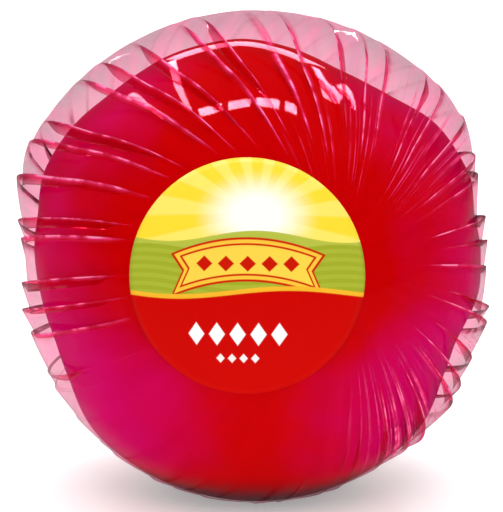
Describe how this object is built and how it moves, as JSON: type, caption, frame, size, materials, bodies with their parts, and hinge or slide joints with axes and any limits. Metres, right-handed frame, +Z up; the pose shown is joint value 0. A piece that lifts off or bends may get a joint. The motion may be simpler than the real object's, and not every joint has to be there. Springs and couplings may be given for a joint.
{
  "type": "wrapped ball of cheese",
  "caption": "Waxed ball of cheese in glossy red film that is laid in pleats round its sides and gathered at the back, with a round label on its face and a flat spot to rest on.",
  "frame": {"origin": "middle of the box under the ball, at the height of the flat spot that it rests on", "axes": "+Z up, -Y towards the face with the label, +X to the right as seen from the face"},
  "size_m": [0.1519, 0.1434, 0.1561],
  "materials": {
    "film": "thin clear film tinted red, very glossy, with sharp pleats",
    "wax": "smooth red wax coat, satin",
    "label": "coated paper, printed in red, yellow, green and white"
  },
  "bodies": {
    "root": {"wrapped_ball": "film", "round_label": "label"}
  },
  "joints": []
}
